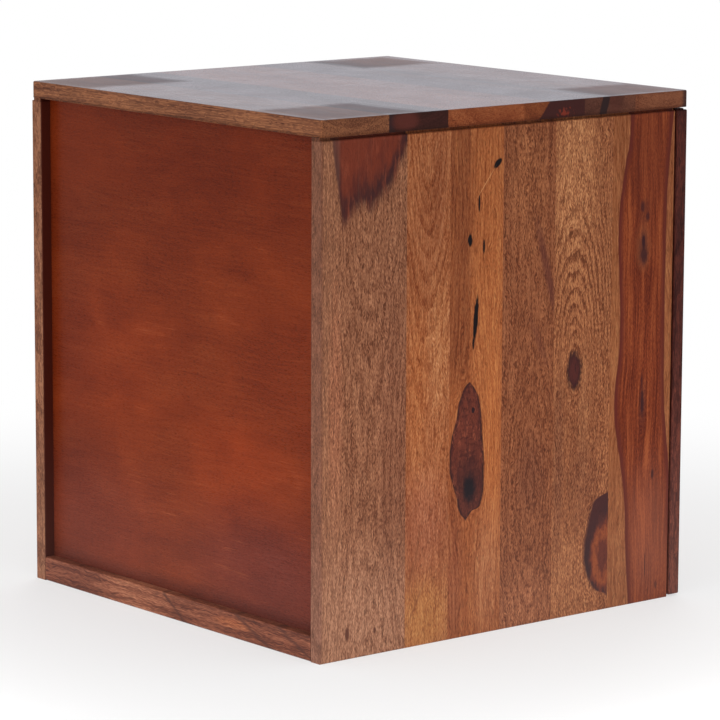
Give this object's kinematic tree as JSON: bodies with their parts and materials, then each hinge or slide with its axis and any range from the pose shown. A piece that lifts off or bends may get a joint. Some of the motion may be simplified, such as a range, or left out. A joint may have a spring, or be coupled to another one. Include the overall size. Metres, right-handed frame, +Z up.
{
  "type": "bedside cabinet",
  "caption": "Cube-like bedside cabinet of edge-glued rosewood staves with a recessed plywood back, a fixed shelf and one overlay door on butt hinges.",
  "frame": {"origin": "on the floor, under the middle of the top's outline", "axes": "+Z up, the door faces -Y, the plywood back faces +Y, +X is the hinge side"},
  "size_m": [0.4633, 0.479, 0.503],
  "materials": {
    "sheesham_top": "satin clear lacquer over edge-glued rosewood staves",
    "sheesham_panel": "satin clear lacquer over edge-glued rosewood staves",
    "sheesham_door": "satin clear lacquer over edge-glued rosewood staves",
    "sheesham_frame": "satin clear lacquer",
    "stained_plywood": "semi-gloss red-brown stain",
    "beech_dowel": "raw",
    "plated_steel": "satin zinc plate",
    "hinge_brass": "antique brushed",
    "catch_plastic": "moulded brown",
    "magnet_iron": "dark ferrite",
    "bumper_rubber": "matt"
  },
  "bodies": {
    "cabinet": {"top_stave_1": "sheesham_top", "top_stave_2": "sheesham_top", "top_stave_3": "sheesham_top", "top_stave_4": "sheesham_top", "top_stave_5": "sheesham_top", "top_stave_6": "sheesham_top", "left_side_1": "sheesham_panel", "left_side_2": "sheesham_panel", "left_side_3": "sheesham_panel", "left_side_4": "sheesham_panel", "left_side_5": "sheesham_panel", "left_side_6": "sheesham_panel", "right_side_1": "sheesham_panel", "right_side_2": "sheesham_panel", "right_side_3": "sheesham_panel", "right_side_4": "sheesham_panel", "right_side_5": "sheesham_panel", "bottom_stave_1": "sheesham_panel", "bottom_stave_2": "sheesham_panel", "bottom_stave_3": "sheesham_panel", "shelf_stave_1": "sheesham_panel", "shelf_stave_2": "sheesham_panel", "shelf_stave_3": "sheesham_panel", "bottom_rail_back": "sheesham_frame", "bottom_rail_front": "sheesham_frame", "top_rail_front": "sheesham_frame", "back_panel": "stained_plywood", "bottom_cleat_middle": "sheesham_frame", "bottom_cleat_left": "sheesham_frame", "bottom_cleat_right": "sheesham_frame", "shelf_cleat_left": "sheesham_frame", "shelf_cleat_right": "sheesham_frame", "top_cleat_left": "sheesham_frame", "top_cleat_right": "sheesham_frame", "cabinet_leaf_lower": "hinge_brass", "cabinet_leaf_upper": "hinge_brass", "hinge_pins": "hinge_brass", "cabinet_hinge_screws": "plated_steel", "cleat_screws": "plated_steel", "board_screws": "plated_steel", "catch_screws": "plated_steel", "rail_dowels": "beech_dowel", "catch_housing": "catch_plastic", "catch_magnet": "magnet_iron"},
    "door": {"door_stave_1": "sheesham_door", "door_stave_2": "sheesham_door", "door_stave_3": "sheesham_door", "door_stave_4": "sheesham_door", "door_stave_5": "sheesham_door", "door_batten_lower": "sheesham_frame", "door_batten_upper": "sheesham_frame", "door_leaf_lower": "hinge_brass", "door_leaf_upper": "hinge_brass", "door_hinge_screws": "plated_steel", "batten_screws": "plated_steel", "knob": "sheesham_door", "knob_screw": "plated_steel", "door_bumpers": "bumper_rubber", "strike_plate": "plated_steel", "strike_screw": "plated_steel"}
  },
  "joints": [
    {"name": "door_hinge", "type": "hinge", "parent": "cabinet", "child": "door", "pos_m": [0.2318, -0.213, 0.2425], "axis": [0, 0, 1], "range_deg": [0, 180]}
  ]
}
